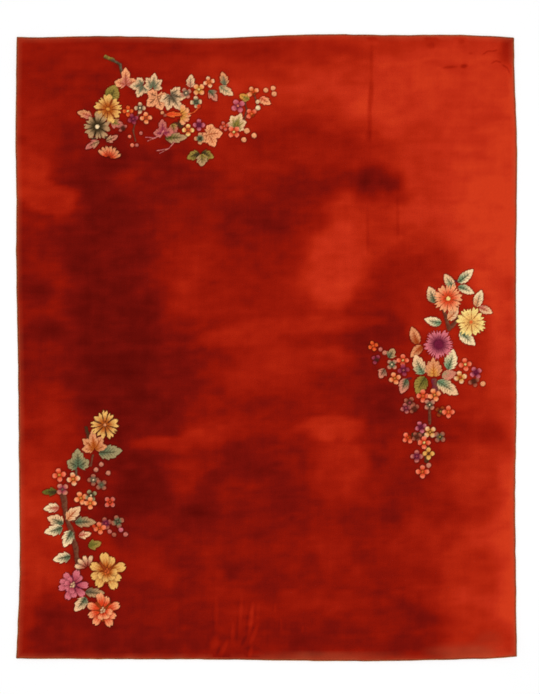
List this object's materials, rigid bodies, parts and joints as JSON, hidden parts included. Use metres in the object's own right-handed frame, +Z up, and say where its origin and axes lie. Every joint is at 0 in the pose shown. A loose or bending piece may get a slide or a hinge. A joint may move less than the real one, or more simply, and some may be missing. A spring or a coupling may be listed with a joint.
{
  "type": "hand-knotted pile rug",
  "caption": "Large flat wool pile rug with a plain red field, carved flower sprays set off to one side and overcast edges.",
  "frame": {"origin": "on the floor, under the middle of the rug's bounding box", "axes": "+X to the right of the design, +Y along the rug's length to the top of the design, +Z up out of the pile"},
  "size_m": [2.4544, 3.0678, 0.015],
  "materials": {
    "wool_pile": "dense lustrous wool pile, red with multicoloured flower sprays"
  },
  "bodies": {
    "root": {"rug": "wool_pile"}
  },
  "joints": []
}
